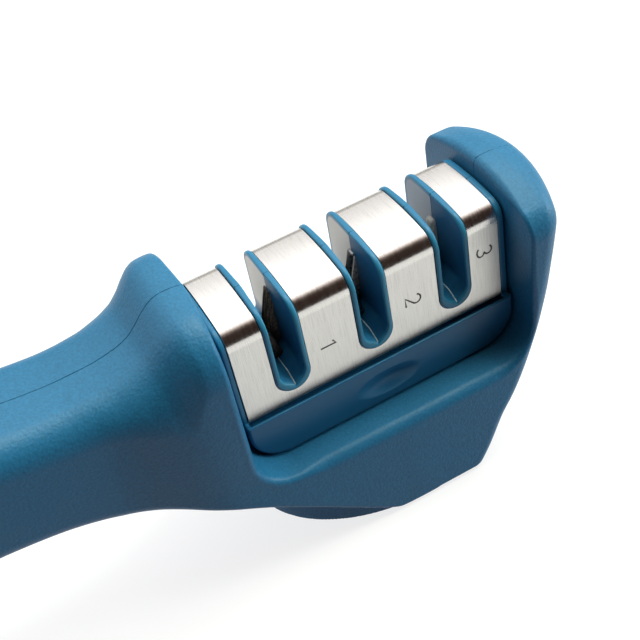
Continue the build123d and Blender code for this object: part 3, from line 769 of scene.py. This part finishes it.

# ------------------------------------------------------------------ fine rib along each slot floor, coloured pale as a painted highlight line
for i, s in enumerate(SLOTS):
    for tag, sg in (("front", -1), ("back", 1)):
        ys = np.concatenate([np.linspace(0.5, 8.4, 12), np.linspace(8.7, 12.0, 14)])
        arch = np.linspace(-1, 1, 9)
        half = 0.14 * np.clip((ys - 0.3) / 0.8, 0.3, 1) * np.clip((12.3 - ys) / 0.6, 0.4, 1)
        px = MX + s + half[:, None] * arch[None, :]
        pz = (MZ + 6.0 - run_out(ys) + 0.02)[:, None] + 0.75 * half[:, None] + 0.12 * (1 - arch[None, :] ** 2)
        py = np.repeat(sg * ys[:, None], 9, 1)
        grid = np.arange(len(ys) * 9).reshape(len(ys), 9)
        fc = np.stack([grid[:-1, :-1], grid[:-1, 1:], grid[1:, 1:], grid[1:, :-1]], -1).reshape(-1, 4)
        if sg < 0:
            fc = fc[:, ::-1]
        o = mesh_object("slot%d_rib_%s" % (i + 1, tag), np.stack([px, py, pz], -1).reshape(-1, 3), fc)
        dress(o, RIB_HIGHLIGHT, "module", "module_plastic")

# ------------------------------------------------------------------ CAD nodes that stay
for name in ("body_screws", "module_screws"):
    o = frame["nodes"][name]
    o.data.materials.clear()
    o.data.materials.append(SCREW)

# ------------------------------------------------------------------ floor, light, camera
bm = bmesh.new()
bmesh.ops.create_grid(bm, x_segments=24, y_segments=24, size=60.0)
me = bpy.data.meshes.new("floor")
bm.to_mesh(me)
bm.free()
floor = bpy.data.objects.new("floor", me)
bpy.context.scene.collection.objects.link(floor)
fm, fnt, fbs = new_mat("floor_paper")
fco = coords(fnt)
fn = node(fnt, "ShaderNodeTexNoise", {"Vector": fco, "Scale": 30.0, "Detail": 2.0}).outputs[0]
fnt.links.new(ramp(fnt, fn, [(0.3, (0.245, 0.245, 0.245)), (0.7, (0.26, 0.26, 0.26))]), fbs.inputs["Base Color"])
fbs.inputs["Roughness"].default_value = 0.85
fbs.inputs["Specular IOR Level"].default_value = 0.2
fbs.inputs["Emission Color"].default_value = (1.0, 1.0, 1.0, 1.0)
fbs.inputs["Emission Strength"].default_value = 0.79
floor.data.materials.append(fm)
floor.visible_diffuse = False

sc = bpy.context.scene
sc.view_settings.view_transform = "Standard"
sc.view_settings.look = "None"
sc.view_settings.exposure = 0.0
world = bpy.data.worlds.new("studio")
sc.world = world
world.use_nodes = True
wnt = world.node_tree
for n_ in list(wnt.nodes):
    wnt.nodes.remove(n_)
wo = wnt.nodes.new("ShaderNodeOutputWorld")
wb = wnt.nodes.new("ShaderNodeBackground")
wnt.links.new(wb.outputs[0], wo.inputs[0])
gen = node(wnt, "ShaderNodeTexCoord").outputs["Generated"]
sep = node(wnt, "ShaderNodeSeparateXYZ", {0: gen}).outputs
side = node(wnt, "ShaderNodeMath", {0: sep[0], 1: 0.35}, operation="MULTIPLY").outputs[0]
back = node(wnt, "ShaderNodeMath", {0: sep[1], 1: side}, operation="ADD").outputs[0]
turn = node(wnt, "ShaderNodeMath", {0: sep[2], 1: back}, operation="ARCTAN2").outputs[0]
sky = ramp(wnt, node(wnt, "ShaderNodeMapRange", {"Value": turn, "From Min": 0.0, "From Max": 3.1416}).outputs[0],
           [(0.0, (0.50, 0.48, 0.46)), (0.13, (0.85, 0.82, 0.79)), (0.21, (1.8, 1.78, 1.75)), (0.28, (2.9, 2.9, 2.9)),
            (0.38, (2.8, 2.8, 2.8)), (0.50, (1.7, 1.54, 1.45)), (0.58, (0.26, 0.185, 0.15)),
            (0.65, (0.044, 0.023, 0.016)), (1.0, (0.034, 0.022, 0.018))])
below = node(wnt, "ShaderNodeMath", {0: sep[2], 1: 0.0}, operation="LESS_THAN").outputs[0]
mixw = node(wnt, "ShaderNodeMix", {"Factor": below}, data_type="RGBA")
wnt.links.new(sky, mixw.inputs["A"])
fall = node(wnt, "ShaderNodeMath", {0: sep[2], 1: -1.0}, operation="MULTIPLY").outputs[0]
bounce = ramp(wnt, fall, [(0.0, (0.09, 0.10, 0.12)), (0.25, (0.125, 0.14, 0.165)), (0.50, (0.42, 0.47, 0.56)),
                          (0.70, (0.78, 0.87, 1.03)), (1.0, (0.92, 1.0, 1.16))])
wnt.links.new(bounce, mixw.inputs["B"])
sky = mixw.outputs["Result"]
wnt.links.new(sky, wb.inputs[0])
wb.inputs[1].default_value = 1.0


def panel(name, at, aim, size, power, color=(1, 1, 1)):
    d = bpy.data.lights.new(name, "AREA")
    d.shape = "RECTANGLE"
    d.size, d.size_y = size
    d.energy = power
    d.color = color
    o = bpy.data.objects.new(name, d)
    o.location = at
    o.rotation_mode = "QUATERNION"
    o.rotation_quaternion = (Vector(aim) - Vector(at)).to_track_quat("-Z", "Y")
    sc.collection.objects.link(o)
    return o


# the same soft box twice: mirrored in the plastic's sheen, but not in the steel's polish
groups = {"mould": bpy.data.collections.new("soft_box_plastic"), "rest": bpy.data.collections.new("soft_box_rest")}
for o in list(sc.collection.all_objects):
    if o.type == "MESH":
        plain = any(m in (BODY, CORE, RUBBER) for m in o.data.materials)
        groups["mould" if plain else "rest"].objects.link(o)
for key, seen in (("mould", True), ("rest", False)):
    lamp = panel("overhead_" + key, (0.38, 0.12, 1.03), (0.04, 0.0, 0.0), (0.76, 0.42), 11.2, (0.86, 1.0, 0.79))
    lamp.visible_glossy = seen
    lamp.light_linking.receiver_collection = groups[key]

lamp = panel("right_fill", (0.88, -0.24, 0.32), (0.07, 0.0, 0.03), (0.5, 0.5), 6.4, (0.92, 1.0, 0.96))
lamp.light_linking.receiver_collection = groups["mould"]

cam_d = bpy.data.cameras.new("camera")
cam_d.sensor_width = 36.0
cam_d.lens = 36.0 * 1121.981 / 640.0
cam_d.clip_start, cam_d.clip_end = 0.01, 20.0
cam = bpy.data.objects.new("camera", cam_d)
sc.collection.objects.link(cam)
R = ((0.8681478967736271, -0.4739341967499481, -0.14732822702560658),
     (-0.4311398381533018, -0.5731222872470341, -0.6968854165627751),
     (0.24584073967646589, 0.6685186766364193, -0.7018868211496911))
pose = Matrix(((R[0][0], -R[1][0], -R[2][0], -0.007746),
               (R[0][1], -R[1][1], -R[2][1], -0.164127),
               (R[0][2], -R[1][2], -R[2][2], 0.217511),
               (0, 0, 0, 1)))
cam.matrix_world = pose
sc.camera = cam
